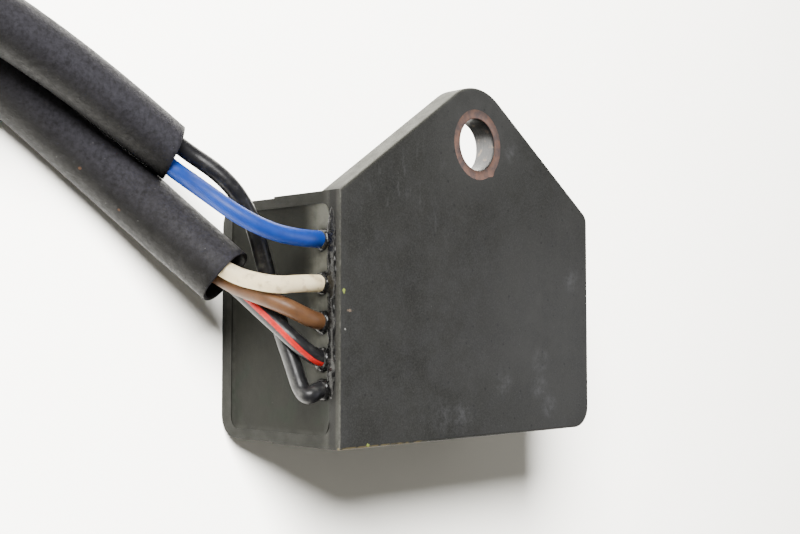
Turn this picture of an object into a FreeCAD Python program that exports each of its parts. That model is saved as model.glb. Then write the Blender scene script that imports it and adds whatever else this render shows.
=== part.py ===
import FreeCAD, Part
import math
import os
import PartDesign
import Sketcher
from FreeCAD import Placement, Rotation, Vector

# Potted block-type proximity sensor with two sleeved leads, in millimetres.
# It lies on its sensing face: Z is up, the leads leave the open end at -X, and the
# mounting lug stands out towards +Y. The origin is under the middle of the sensor's box.

os.makedirs("parts", exist_ok=True)
doc = FreeCAD.newDocument("proximity_sensor")

DIMENSIONS = {
    # moulded case
    "body_length": 50.0,
    "body_width": 31.0,
    "body_height": 23.0,
    "overall_width": 46.8,
    "edge_round": 3.0,
    "wear_round": 0.4,
    "parting_height": 10.5,
    "parting_step": 0.2,
    "wall_floor": 2.0,
    "wall_front": 2.0,
    "wall_long": 1.5,
    "wall_end": 2.0,
    "cavity_round": 1.5,
    # lug and its bush
    "lug_thickness": 3.4,
    "lug_radius": 7.7,
    "shoulder_round": 1.8,
    "bush_diameter": 9.5,
    "bush_bore": 7.0,
    "bush_chamfer": 0.15,
    # potting and the wires' beads of sealant
    "potting_recess": 0.4,
    "bead_foot": 1.9,
    "bead_top": 1.35,
    # circuit board, on the front side of the cavity
    "board_length": 42.5,
    "board_width": 25.0,
    "board_thickness": 1.6,
    "board_level": 16.7,
    "board_start": 3.5,
    # half pot core and its coil, against the sensing face
    "core_across": 33.0,
    "core_radius": 10.8,
    "core_height": 6.6,
    "core_plate": 2.4,
    "core_skirt": 1.8,
    "post_radius": 4.6,
    "post_bore": 2.2,
    "slot_width": 3.0,
    "bobbin_bore": 4.8,
    "bobbin_radius": 8.7,
    "bobbin_wall": 0.5,
    "bobbin_height": 3.8,
    "winding_radius": 8.3,
    "lead_width": 0.4,
    "lead_reach": 11.6,
    # wires and sleeves
    "wire_diameter": 2.1,
    "conductor_diameter": 1.1,
    "conductor_end": 4.0,
    "upper_sleeve_diameter": 6.5,
    "lower_sleeve_diameter": 7.5,
    "sleeve_wall": 0.5,
    # sealed cable connectors
    "way_pitch": 6.0,
    "plug_margin": 9.0,
    "plug_length": 15.0,
    "plug_height": 10.8,
    "nose_length": 9.0,
    "nose_inset": 1.2,
    "plug_round": 1.2,
    "seal_bore": 5.0,
    "seal_depth": 9.0,
    "seal_start": 0.6,
    "seal_length": 4.2,
    "terminal_bore": 3.0,
    "terminal_diameter": 2.6,
    "terminal_start": 5.0,
    "socket_diameter": 1.6,
    "lock_thickness": 1.4,
}

dims = doc.addObject("Spreadsheet::Sheet", "dims")
for row, (alias, value) in enumerate(DIMENSIONS.items(), start=1):
    dims.set("A%d" % row, alias)
    dims.set("B%d" % row, str(value))
    dims.setAlias("B%d" % row, alias)
doc.recompute()


def size(alias):
    """A driving dimension, read from the sheet."""
    return float(dims.get(alias))


def formula(text):
    """An expression on the sheet: every word that is a dimension gets the sheet's name."""
    words = text.replace("(", "( ").replace(")", " )").split()
    return " ".join("dims." + word if word in DIMENSIONS else word for word in words)


def bind(thing, **formulas):
    """Binds properties of an object to formulas; Base__x stands for Placement.Base.x."""
    for name, text in formulas.items():
        path = "Placement." + name.replace("__", ".") if "__" in name else name
        thing.setExpression(path, formula(str(text)))
    return thing


def at(thing, across="0", along="0", up="0"):
    """Places an object by three formulas."""
    return bind(thing, Base__x=across, Base__y=along, Base__z=up)


def primitive(kind, name, place=("0", "0", "0"), **formulas):
    """A Part primitive with its sizes and its place bound to the sheet."""
    thing = doc.addObject("Part::" + kind, name)
    return at(bind(thing, **formulas), *place)


def along_x(thing):
    """Turns a cylinder or cone so that its axis runs along +X."""
    thing.Placement = Placement(Vector(), Rotation(Vector(0, 1, 0), 90))
    return thing


def fuse(name, shapes):
    thing = doc.addObject("Part::MultiFuse", name)
    thing.Shapes = shapes
    return thing


def cut(name, base, tool):
    thing = doc.addObject("Part::Cut", name)
    thing.Base = base
    thing.Tool = tool
    return thing


def group(name, links):
    """Separate solids kept in one sub-part."""
    thing = doc.addObject("Part::Compound", name)
    thing.Links = links
    return thing


# ---------------------------------------------------------------- sketching

HALF_LENGTH = "body_length / 2"
HALF_WIDTH = "overall_width / 2"
SHOULDER = "body_width - overall_width / 2"


def new_body(name):
    return doc.addObject("PartDesign::Body", name)


def new_sketch(body, name, plane, offset="0"):
    """A sketch on one of the body's origin planes, moved along its normal by a formula."""
    sketch = body.newObject("Sketcher::SketchObject", name)
    for feature in body.Origin.OriginFeatures:
        if feature.Role == plane:
            sketch.AttachmentSupport = [(feature, "")]
    sketch.MapMode = "FlatFace"
    sketch.setExpression("AttachmentOffset.Base.z", formula(offset))
    return sketch


def pin(sketch, geometry, vertex, across=None, up=None):
    """Holds a vertex at coordinates given as formulas."""
    for kind, text in (("DistanceX", across), ("DistanceY", up)):
        if text is not None:
            index = sketch.addConstraint(Sketcher.Constraint(kind, -1, 1, geometry, vertex, 1.0))
            sketch.setExpression("Constraints[%d]" % index, formula(text))


def rectangle(sketch, west, south, east, north):
    """A rectangle between four formulas."""
    corners = [Vector(-5, -5), Vector(5, -5), Vector(5, 5), Vector(-5, 5)]
    for start, end in zip(corners, corners[1:] + corners[:1]):
        sketch.addGeometry(Part.LineSegment(start, end))
    for side in range(4):
        sketch.addConstraint(Sketcher.Constraint("Coincident", side, 2, (side + 1) % 4, 1))
        sketch.addConstraint(Sketcher.Constraint(("Horizontal", "Vertical")[side % 2], side))
    pin(sketch, 0, 1, west, south)
    pin(sketch, 2, 1, east, north)


def circle(sketch, diameter, up):
    """A circle centred on the sketch's upright axis."""
    index = sketch.addGeometry(Part.Circle(Vector(0, 5, 0), Vector(0, 0, 1), 2.0))
    sketch.addConstraint(Sketcher.Constraint("PointOnObject", index, 3, -2))
    pin(sketch, index, 3, up=up)
    width = sketch.addConstraint(Sketcher.Constraint("Diameter", index, 4.0))
    sketch.setExpression("Constraints[%d]" % width, formula(diameter))


def pad(body, name, sketch, length):
    feature = body.newObject("PartDesign::Pad", name)
    feature.Profile = sketch
    bind(feature, Length=length)
    doc.recompute()
    return feature


def pocket(body, name, sketch, length, reverse):
    """A pocket that has to take material away."""
    before = body.Shape.Volume
    feature = body.newObject("PartDesign::Pocket", name)
    feature.Profile = sketch
    feature.Reversed = reverse
    bind(feature, Length=length)
    doc.recompute()
    if body.Shape.Volume > before - 1.0:
        raise RuntimeError(name + " cut nothing")
    return feature


def dress(body, kind, name, base, wanted, **formulas):
    """A fillet or chamfer on every edge of the base that passes the test."""
    names = ["Edge%d" % (i + 1) for i, edge in enumerate(base.Shape.Edges) if wanted(edge)]
    if not names:
        raise RuntimeError(name + " found no edge")
    feature = body.newObject("PartDesign::" + kind, name)
    feature.Base = (base, names)
    bind(feature, **formulas)
    doc.recompute()
    return feature


def near(a, b):
    return abs(a - b) < 0.01


def span(edge, axis):
    """An edge's lowest and highest value along one axis, 0 to 2 for X to Z."""
    box = edge.BoundBox
    low = (box.XMin, box.YMin, box.ZMin)[axis]
    return low, low + (box.XLength, box.YLength, box.ZLength)[axis]


def lies_at(edge, axis, value):
    low, high = span(edge, axis)
    return near(low, value) and near(high, value)


def runs(edge, axis):
    """True for an edge that lies along one axis only."""
    return all(near(*span(edge, other)) for other in range(3) if other != axis)


# ---------------------------------------------------------------- case

def cavity_outline(body, name, offset):
    """The open end's inner outline, seen along X: sketch X is Y and sketch Y is Z."""
    sketch = new_sketch(body, name, "YZ_Plane", offset)
    rectangle(sketch, "wall_long - " + HALF_WIDTH, "wall_floor",
              SHOULDER + " - wall_long", "body_height - wall_front")
    return sketch


def add_lug(body):
    """The lug: two slopes, tangent to the round end, that rise from the block's shoulders."""
    half = size("body_length") / 2
    shoulder = size("body_width") - size("overall_width") / 2
    root = shoulder - 2 * size("shoulder_round")
    radius = size("lug_radius")
    centre = Vector(0, size("overall_width") / 2 - radius, 0)
    sketch = new_sketch(body, "lug_outline", "XY_Plane", "body_height - lug_thickness")
    slope = math.radians(55)
    touch = Vector(radius * math.cos(slope), radius * math.sin(slope), 0)
    mirrored = Vector(-touch.x, touch.y, 0)
    corners = [Vector(-half, shoulder), Vector(-half, root), Vector(half, root), Vector(half, shoulder)]
    for start, end in zip(corners, corners[1:]):
        sketch.addGeometry(Part.LineSegment(start, end))
    sketch.addGeometry(Part.LineSegment(corners[3], centre + touch))
    round_end = Part.Circle(centre, Vector(0, 0, 1), radius)
    sketch.addGeometry(Part.ArcOfCircle(round_end, slope, math.pi - slope))
    sketch.addGeometry(Part.LineSegment(centre + mirrored, corners[0]))
    for line in (0, 2):
        sketch.addConstraint(Sketcher.Constraint("Vertical", line))
    sketch.addConstraint(Sketcher.Constraint("Horizontal", 1))
    for first, second in ((0, 1), (1, 2), (2, 3), (5, 0)):
        sketch.addConstraint(Sketcher.Constraint("Coincident", first, 2, second, 1))
    sketch.addConstraint(Sketcher.Constraint("Tangent", 3, 2, 4, 1))
    sketch.addConstraint(Sketcher.Constraint("Tangent", 4, 2, 5, 1))
    pin(sketch, 0, 1, "-1 * " + HALF_LENGTH, SHOULDER)
    pin(sketch, 1, 2, HALF_LENGTH, SHOULDER + " - 2 * shoulder_round")
    pin(sketch, 2, 2, up=SHOULDER)
    sketch.addConstraint(Sketcher.Constraint("PointOnObject", 4, 3, -2))
    pin(sketch, 4, 3, up=HALF_WIDTH + " - lug_radius")
    index = sketch.addConstraint(Sketcher.Constraint("Radius", 4, radius))
    sketch.setExpression("Constraints[%d]" % index, formula("lug_radius"))
    return pad(body, "lug", sketch, "lug_thickness")


def make_housing():
    body = new_body("housing")
    far = size("body_length") / 2
    back = far - size("parting_step")
    shoulder = size("body_width") - size("overall_width") / 2

    sketch = new_sketch(body, "sensing_half_outline", "XY_Plane")
    rectangle(sketch, "-1 * " + HALF_LENGTH, "parting_step - " + HALF_WIDTH,
              HALF_LENGTH + " - parting_step", SHOULDER + " - parting_step")
    half = pad(body, "sensing_half", sketch, "parting_height")
    half = dress(body, "Fillet", "sensing_half_rounds", half,
                 lambda e: (runs(e, 2) and lies_at(e, 0, back))
                 or (lies_at(e, 2, 0) and not lies_at(e, 0, -far)), Radius="edge_round")

    sketch = new_sketch(body, "lug_half_outline", "XY_Plane", "parting_height")
    rectangle(sketch, "-1 * " + HALF_LENGTH, "-1 * " + HALF_WIDTH, HALF_LENGTH, SHOULDER)
    block = pad(body, "lug_half", sketch, "body_height - parting_height")
    block = dress(body, "Fillet", "far_corner_rounds", block,
                  lambda e: runs(e, 2) and lies_at(e, 0, far), Radius="edge_round")

    lug = add_lug(body)
    lug = dress(body, "Fillet", "shoulder_corner", lug,
                lambda e: runs(e, 2) and lies_at(e, 0, far) and lies_at(e, 1, shoulder)
                and span(e, 2)[1] > size("body_height") - 0.1, Radius="shoulder_round")
    dress(body, "Fillet", "front_rim", lug,
          lambda e: lies_at(e, 2, size("body_height")) and not lies_at(e, 0, -far),
          Radius="wear_round")

    sketch = cavity_outline(body, "cavity_outline", "-1 * " + HALF_LENGTH)
    hollow = pocket(body, "cavity", sketch, "body_length - wall_end", True)
    ends = size("body_length") / 2 - size("wall_end")
    dress(body, "Fillet", "cavity_rounds", hollow,
          lambda e: runs(e, 0) and near(span(e, 0)[1], ends) and near(span(e, 0)[0], -far),
          Radius="cavity_round")
    sketch = new_sketch(body, "bush_hole_outline", "XY_Plane", "body_height")
    circle(sketch, "bush_diameter", HALF_WIDTH + " - lug_radius")
    pocket(body, "bush_hole", sketch, "lug_thickness", False)


def make_mounting_bush():
    """Plain steel bush, flush with both faces of the lug."""
    body = new_body("mounting_bush")
    sketch = new_sketch(body, "bush_outline", "XY_Plane", "body_height - lug_thickness")
    circle(sketch, "bush_diameter", HALF_WIDTH + " - lug_radius")
    circle(sketch, "bush_bore", HALF_WIDTH + " - lug_radius")
    ring = pad(body, "bush_ring", sketch, "lug_thickness")
    dress(body, "Chamfer", "bore_chamfers", ring,
          lambda e: e.Curve.TypeId == "Part::GeomCircle" and near(e.Curve.Radius, size("bush_bore") / 2),
          Size="bush_chamfer")


# ---------------------------------------------------------------- sealed electronics

CAVITY_MIDDLE = "( 0 - overall_width + body_width ) / 2"
BOARD_START = "board_start - " + HALF_LENGTH
BOARD_TOP = "board_level + board_thickness"
CORE_ACROSS = "core_across - " + HALF_LENGTH


def make_circuit_board():
    primitive("Box", "circuit_board",
              (BOARD_START, CAVITY_MIDDLE + " - board_width / 2", "board_level"),
              Length="board_length", Width="board_width", Height="board_thickness")


def ring(name, place, outer, inner, height):
    outside = primitive("Cylinder", name + "_outside", place, Radius=outer, Height=height)
    inside = primitive("Cylinder", name + "_inside", place, Radius=inner, Height=height)
    return cut(name, outside, inside)


def make_coil():
    """Half pot core that opens towards the sensing face, with a wound bobbin inside."""
    foot = (CORE_ACROSS, CAVITY_MIDDLE, "wall_floor")
    window_depth = "core_height - core_plate"
    blank = primitive("Cylinder", "core_blank", foot, Radius="core_radius", Height="core_height")
    window = ring("core_window", foot, "core_radius - core_skirt", "post_radius", window_depth)
    bore = primitive("Cylinder", "core_bore", foot, Radius="post_bore", Height="core_height")
    slot = primitive("Box", "core_slot",
                     (CORE_ACROSS + " - core_radius", CAVITY_MIDDLE + " - slot_width / 2", "wall_floor"),
                     Length="2 * core_radius", Width="slot_width", Height=window_depth)
    slot_core = primitive("Cylinder", "slot_core", foot,
                          Radius="core_radius - core_skirt", Height=window_depth)
    slots = cut("core_slots", slot, slot_core)
    cut("ferrite_core", blank, fuse("core_hollows", [window, bore, slots]))

    gap = "bobbin_wall"
    lower = (CORE_ACROSS, CAVITY_MIDDLE, "wall_floor")
    upper = (CORE_ACROSS, CAVITY_MIDDLE, "wall_floor + bobbin_height - " + gap)
    between = (CORE_ACROSS, CAVITY_MIDDLE, "wall_floor + " + gap)
    winding_height = "bobbin_height - 2 * bobbin_wall"
    fuse("coil_bobbin", [
        ring("lower_flange", lower, "bobbin_radius", "bobbin_bore", gap),
        ring("upper_flange", upper, "bobbin_radius", "bobbin_bore", gap),
        ring("bobbin_tube", lower, "bobbin_bore + bobbin_wall", "bobbin_bore", "bobbin_height"),
    ])
    ring("coil_winding", between, "winding_radius", "bobbin_bore + bobbin_wall", winding_height)

    leads = []
    level = "wall_floor + bobbin_height / 2"
    middle = CAVITY_MIDDLE + " - lead_width / 2"
    for name, out_start, up_start in (("near", "0 - lead_reach", "0 - lead_reach"),
                                      ("far", "winding_radius", "lead_reach - lead_width")):
        out = primitive("Box", name + "_lead_out", (CORE_ACROSS + " + " + out_start, middle, level),
                        Length="lead_reach - winding_radius", Width="lead_width", Height="lead_width")
        up = primitive("Box", name + "_lead_up", (CORE_ACROSS + " + " + up_start, middle, level),
                       Length="lead_width", Width="lead_width",
                       Height="board_level - wall_floor - bobbin_height / 2")
        leads.append(fuse(name + "_lead", [out, up]))
    group("coil_leads", leads)


def chips(name, length, width, height, places, under=False):
    """Rectangular components on the board: places are (from the board's start, across)."""
    level = "board_level - %s" % height if under else BOARD_TOP
    pieces = []
    for number, (start, across) in enumerate(places):
        place = (BOARD_START + " + %s" % start, CAVITY_MIDDLE + " + %s - %s" % (across, width / 2), level)
        pieces.append(primitive("Box", "%s_%d" % (name, number), place,
                                Length=length, Width=width, Height=height))
    return pieces


def make_components():
    parts = chips("chip_case", 4.9, 3.9, 1.4, [(6.0, 7.0)], under=True)
    for side in (-2.35, 2.35):
        feet = [(6.4 + 1.27 * step, 7.0 + side) for step in range(4)]
        parts += chips("chip_foot_%s" % ("low" if side < 0 else "high"), 0.4, 0.8, 0.5, feet, under=True)
    fuse("oscillator_chip", parts)
    group("smoothing_capacitor", chips("tantalum", 7.3, 4.3, 2.8, [(4.0, -7.5)], under=True))
    group("output_transistors", chips("transistor", 4.5, 2.5, 1.5, [(14.0, -8.0), (14.0, -3.0)]))
    group("protection_diodes", chips("diode", 4.3, 2.6, 2.0, [(7.5, 8.0), (7.5, 3.5), (7.5, -1.0)]))
    resistors = [(22.0 + 5.0 * (k % 4), -9.0 + 4.0 * (k // 4)) for k in range(8)]
    group("chip_resistors", chips("resistor", 3.2, 1.6, 0.6, resistors))
    capacitors = [(16.0 + 6.0 * k, 7.0) for k in range(4)]
    group("chip_capacitors", chips("capacitor", 3.2, 1.6, 1.2, capacitors))


# ---------------------------------------------------------------- leads

# Where each wire leaves the potting, as (Y, Z), on the plane of the open end.
EXITS = {
    "blue_wire": (1.7, 19.5),
    "white_wire": (-3.6, 19.55),
    "brown_wire": (-8.3, 19.6),
    "black_red_wire": (-12.8, 19.6),
    "black_wire": (-16.5, 19.7),
}

# Each wire from inside the potting to the mouth of its sleeve. The black wire doubles
# back in a tight bend right at its exit.
FREE_WIRES = {
    "blue_wire": [(-23.0, 1.7, 19.5), (-25.0, 1.7, 19.5), (-28.4, 1.7, 19.4), (-32.2, 2.2, 18.9),
                  (-35.6, 4.0, 17.0), (-38.3, 7.0, 13.8)],
    "white_wire": [(-23.0, -3.6, 19.55), (-25.0, -3.6, 19.55), (-28.2, -3.7, 19.4), (-31.4, -4.0, 18.2)],
    "brown_wire": [(-23.0, -8.3, 19.6), (-25.0, -8.3, 19.6), (-27.0, -7.8, 19.5), (-30.0, -6.1, 18.0)],
    "black_red_wire": [(-23.0, -12.8, 19.6), (-25.0, -12.8, 19.6), (-27.0, -11.8, 19.2),
                       (-29.1, -9.3, 17.4)],
    "black_wire": [(-23.0, -16.5, 19.7), (-26.2, -16.5, 19.7), (-28.2, -16.2, 19.65),
                   (-29.2, -14.7, 18.95), (-28.3, -12.6, 17.0), (-27.6, -9.7, 15.0), (-28.0, -6.0, 14.0),
                   (-29.2, -1.0, 13.8), (-31.6, 4.6, 14.2), (-34.6, 8.9, 13.2)],
}

# The sleeves' centre lines. The lower sleeve comes down on to the supporting surface; the
# upper one rides over it in a long low hump and lands beyond it.
UPPER_SLEEVE = [(-39.2, 11.7, 9.0), (-47.0, 15.6, 9.9), (-56.0, 19.7, 10.7), (-65.0, 23.2, 11.3),
                (-74.5, 24.8, 11.1), (-85.0, 23.0, 8.0), (-95.5, 17.4, 4.0), (-103.5, 8.4, 3.4),
                (-107.8, -3.4, 3.3), (-108.6, -16.4, 3.4), (-105.8, -29.0, 3.3), (-99.6, -40.2, 3.4),
                (-90.6, -49.2, 3.4)]
LOWER_SLEEVE = [(-32.9, -2.8, 11.0), (-37.6, 2.7, 6.6), (-44.5, 8.6, 3.9), (-55.8, 16.5, 3.8),
                (-66.0, 23.6, 3.8), (-76.0, 29.2, 3.8), (-87.5, 32.2, 3.8), (-99.0, 31.3, 3.8),
                (-110.2, 26.6, 3.8), (-119.2, 18.4, 3.8), (-125.0, 7.0, 3.8), (-127.3, -6.0, 3.8),
                (-126.7, -19.2, 3.8), (-123.6, -31.8, 3.8)]

# Each wire's place in its sleeve: to the left of the centre line, and above it.
UPPER_PLACES = {"blue_wire": (1.5, -0.5), "black_wire": (-0.9, 0.45)}
LOWER_PLACES = {"white_wire": (0.6, 1.7), "brown_wire": (0.6, -0.45), "black_red_wire": (-1.0, -1.85)}

# Each connector: the wires from left to right, the middle of its rear face, its heading in
# degrees from +X, and its sleeve.
WIRE_LEVEL = 5.4
CONNECTORS = {
    "two_way": (["blue_wire", "black_wire"], Vector(-80.8, -56.9, 0), -35.0, UPPER_SLEEVE),
    "three_way": (["brown_wire", "white_wire", "black_red_wire"],
                  Vector(-120.6, -43.9, 0), -76.0, LOWER_SLEEVE),
}


def unit(vector):
    return Vector(vector) / vector.Length


def beside(points, left, over):
    """A route that runs beside another: to its left and above it by fixed amounts."""
    route = [Vector(*p) for p in points]
    steps = [unit(b - a) for a, b in zip(route, route[1:])]
    result = []
    for number, point in enumerate(route):
        before = steps[max(number - 1, 0)]
        after = steps[min(number, len(steps) - 1)]
        along = unit(before + after)
        leftward = unit(Vector(-along.y, along.x, 0))
        upward = along.cross(leftward)
        result.append(point + leftward * (left / before.dot(along)) + upward * over)
    return result


def rounded_route(points):
    """Straight runs joined by tangent arcs, each as large as its two runs allow."""
    route = [Vector(*p) for p in points]
    edges = []
    radii = []
    start = route[0]
    for before, corner, after in zip(route, route[1:], route[2:]):
        into = unit(corner - before)
        out = unit(after - corner)
        reach = 0.45 * min((corner - before).Length, (after - corner).Length)
        half_turn = into.getAngle(out) / 2
        radius = reach / math.tan(half_turn)
        inward = unit(out - into)
        middle = corner + inward * (radius / math.cos(half_turn) - radius)
        edges.append(Part.LineSegment(start, corner - into * reach).toShape())
        edges.append(Part.Arc(corner - into * reach, middle, corner + out * reach).toShape())
        radii.append(radius)
        start = corner + out * reach
    edges.append(Part.LineSegment(start, route[-1]).toShape())
    return Part.Wire(edges), radii


def tube(name, points, diameter, hollow=0.0):
    """A round tube along a rounded route, checked against its section times its length."""
    path, radii = rounded_route(points)
    solids = []
    for width in [diameter] + ([hollow] if hollow else []):
        start = path.Edges[0]
        place = start.valueAt(start.FirstParameter)
        rim = Part.Circle(place, start.tangentAt(start.FirstParameter), width / 2)
        solids.append(path.makePipeShell([Part.Wire(rim.toShape())], True, False))
    shape = solids[0].cut(solids[1]) if hollow else solids[0]
    section = math.pi / 4 * (diameter ** 2 - hollow ** 2)
    if abs(shape.Volume / (section * path.Length) - 1) > 0.01:
        raise RuntimeError(name + " has the wrong volume")
    print("%s: length %.1f, tightest radius %.2f, radii %s"
          % (name, path.Length, min(radii), ["%.1f" % r for r in radii]))
    thing = doc.addObject("Part::Feature", name)
    thing.Shape = shape
    return thing


def connector_frame(name):
    _, rear, heading, _ = CONNECTORS[name]
    return Placement(rear, Rotation(Vector(0, 0, 1), heading))


def lane(ways, number):
    """How far a way lies to the left of the connector's middle."""
    return ((ways - 1) / 2 - number) * size("way_pitch")


def make_leads():
    wires = []
    for name in CONNECTORS:
        order, _, _, sleeve = CONNECTORS[name]
        places = UPPER_PLACES if sleeve is UPPER_SLEEVE else LOWER_PLACES
        frame = connector_frame(name)
        for number, wire in enumerate(order):
            left = lane(len(order), number)
            route = [Vector(*p) for p in FREE_WIRES[wire]]
            route += beside(sleeve, *places[wire])
            route.append(frame.multVec(Vector(-3.2, left, WIRE_LEVEL)))
            route.append(frame.multVec(Vector(size("terminal_start"), left, WIRE_LEVEL)))
            wires.append(tube(wire, route, size("wire_diameter")))
    for name, route in (("upper_sleeve", UPPER_SLEEVE), ("lower_sleeve", LOWER_SLEEVE)):
        across = size(name + "_diameter")
        tube(name, route, across, across - 2 * size("sleeve_wall"))
    return wires


def make_wire_ends():
    """Bare conductors lap-soldered to the board behind each wire."""
    bare = []
    blobs = []
    for wire, (along, up) in EXITS.items():
        rod = along_x(doc.addObject("Part::Cylinder", wire + "_conductor"))
        bind(rod, Radius="conductor_diameter / 2", Height="conductor_end")
        at(rod, "2 - " + HALF_LENGTH, str(along), str(up))
        bare.append(rod)
        blobs.append(primitive("Cone", wire + "_solder", (BOARD_START + " + 1.3", str(along), BOARD_TOP),
                               Radius1="1.25", Radius2="0.75", Height="1.9"))
    ends = group("conductor_ends", bare)
    cut("solder_joints", group("solder_blobs", blobs), ends)


def make_sealant(wires):
    """A bead of sealant round each wire, between the potting and the plane of the open end."""
    beads = []
    for wire, (along, up) in EXITS.items():
        bead = doc.addObject("Part::Cone", wire + "_bead")
        bead.Placement = Placement(Vector(), Rotation(Vector(0, 1, 0), -90))
        bind(bead, Radius1="bead_foot", Radius2="bead_top", Height="potting_recess")
        beads.append(at(bead, "potting_recess - " + HALF_LENGTH, str(along), str(up)))
    cut("wire_exit_sealant", group("bead_blanks", beads), group("wires_in_beads", wires))


def make_potting():
    """Cast resin that fills the case round everything inside it. The core stands with its
    open side on the case's floor, so no resin gets into it."""
    body = new_body("potting_fill")
    sketch = cavity_outline(body, "potting_outline", "potting_recess - " + HALF_LENGTH)
    fill = pad(body, "potting_block", sketch, "body_length - wall_end - potting_recess")
    dress(body, "Fillet", "potting_rounds", fill, lambda e: runs(e, 0), Radius="cavity_round")
    bores = []
    for wire, (along, up) in EXITS.items():
        bore = along_x(doc.addObject("Part::Cylinder", wire + "_bore"))
        bind(bore, Radius="wire_diameter / 2", Height="2.0")
        bores.append(at(bore, "0 - " + HALF_LENGTH, str(along), str(up)))
    inside = ["circuit_board", "core_blank", "coil_leads", "oscillator_chip", "smoothing_capacitor",
              "output_transistors", "protection_diodes", "chip_resistors", "chip_capacitors",
              "conductor_ends", "solder_blobs"]
    held = fuse("potted_outline", [doc.getObject(name) for name in inside] + bores)
    cut("potting_compound", body, held)


# ---------------------------------------------------------------- connectors

def box(name, x, y, z):
    """A box between two formulas or numbers along each axis, in a connector's own frame."""
    (west, east), (south, north), (low, high) = x, y, z
    return primitive("Box", name, (str(west), str(south), str(low)),
                     Length="( %s ) - ( %s )" % (east, west), Width="( %s ) - ( %s )" % (north, south),
                     Height="( %s ) - ( %s )" % (high, low))


def rod(name, start, length, left, diameter):
    """A cylinder along a way of a connector, in its own frame."""
    thing = along_x(doc.addObject("Part::Cylinder", name))
    bind(thing, Radius="( %s ) / 2" % diameter, Height=length)
    return at(thing, str(start), str(left), str(WIRE_LEVEL))


def soften(name, block, radius):
    """Rounds a block's edges along X."""
    doc.recompute()
    thing = doc.addObject("Part::Fillet", name)
    thing.Base = block
    thing.Edges = [(i + 1, radius, radius) for i, e in enumerate(block.Shape.Edges) if runs(e, 0)]
    return thing


def make_connector(name):
    """Sealed cable connector: body with a latch, wire seals, terminals and terminal lock."""
    order, _, _, _ = CONNECTORS[name]
    ways = len(order)
    half = "( ( %d * way_pitch + plug_margin ) / 2 )" % (ways - 1)
    total = "plug_length + nose_length"
    main = soften(name + "_main", box(name + "_main_block", (0, "plug_length"), ("0 - " + half, half),
                                      (0, "plug_height")), size("plug_round"))
    nose = soften(name + "_nose", box(name + "_nose_block", ("plug_length", total),
                                      ("nose_inset - " + half, half + " - nose_inset"),
                                      ("nose_inset", "plug_height - nose_inset")), size("plug_round"))
    pieces = [
        main,
        nose,
        soften(name + "_collar", box(name + "_collar_block", (0, 1.6), ("0 - 0.5 - " + half, half + " + 0.5"),
                                     (0, "plug_height + 0.5")), size("plug_round")),
        box(name + "_latch_foot", (3.5, 6.5), (-2.2, 2.2), ("plug_height - 0.5", "plug_height + 1.0")),
        box(name + "_latch_arm", (3.5, 19.0), (-2.2, 2.2), ("plug_height + 0.9", "plug_height + 2.1")),
        box(name + "_latch_catch", (16.0, 17.6), (-2.2, 2.2), ("plug_height + 2.0", "plug_height + 2.8")),
    ]
    for side in (-1, 1):
        for level in (3.0, 7.0):
            edge = "%d * %s" % (side, half)
            lift = ("%s - 0.5" % edge, "%s + 0.5" % edge)
            pieces.append(box("%s_rib_%d_%d" % (name, side + 1, level), (4, 13), lift, (level, level + 0.9)))
    bores = []
    seals = []
    terminals = []
    windows = []
    for number in range(ways):
        left = lane(ways, number)
        tag = "%s_%d" % (name, number)
        bores.append(rod(tag + "_seal_bore", 0, "seal_depth", left, "seal_bore"))
        bores.append(rod(tag + "_terminal_bore", 0, total, left, "terminal_bore"))
        ribs = [rod(tag + "_seal_core", "seal_start", "seal_length", left, "seal_bore - 0.6")]
        for step in range(3):
            ribs.append(rod("%s_seal_rib_%d" % (tag, step), "seal_start + %s" % (1.6 * step), "1.0",
                            left, "seal_bore"))
        hole = rod(tag + "_wire_hole", 0, "2 * seal_length", left, "wire_diameter")
        seals.append(cut(tag + "_seal", fuse(tag + "_seal_blank", ribs), hole))
        barrel = rod(tag + "_barrel", "terminal_start", total + " - terminal_start - 0.5", left,
                     "terminal_diameter")
        socket = rod(tag + "_socket", total + " - 9.5", "9.5", left, "socket_diameter")
        terminals.append(cut(tag + "_terminal", barrel, socket))
        windows.append(rod(tag + "_window", total, "lock_thickness", left, "socket_diameter + 0.4"))
    plate = soften(name + "_plate", box(name + "_plate_block", (total, total + " + lock_thickness"),
                                        ("2 - " + half, half + " - 2"), (2.2, "plug_height - 2.2")), 0.8)
    made = [
        cut(name + "_connector_body", fuse(name + "_shell", pieces), group(name + "_bores", bores)),
        group(name + "_wire_seals", seals),
        group(name + "_terminals", terminals),
        cut(name + "_terminal_lock", plate, group(name + "_windows", windows)),
    ]
    for thing in made:
        thing.Placement = connector_frame(name)


# ---------------------------------------------------------------- build and write

make_housing()
make_mounting_bush()
make_circuit_board()
make_coil()
make_components()
all_wires = make_leads()
make_wire_ends()
make_sealant(all_wires)
make_potting()
for connector in CONNECTORS:
    make_connector(connector)
doc.recompute()

NODES = [
    "housing", "mounting_bush", "potting_compound", "wire_exit_sealant", "circuit_board",
    "ferrite_core", "coil_bobbin", "coil_winding", "coil_leads", "oscillator_chip",
    "smoothing_capacitor", "output_transistors", "protection_diodes", "chip_resistors",
    "chip_capacitors", "conductor_ends", "solder_joints", "upper_sleeve", "lower_sleeve",
] + list(EXITS)
for connector in CONNECTORS:
    NODES += [connector + end for end in ("_connector_body", "_wire_seals", "_terminals", "_terminal_lock")]

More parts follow.
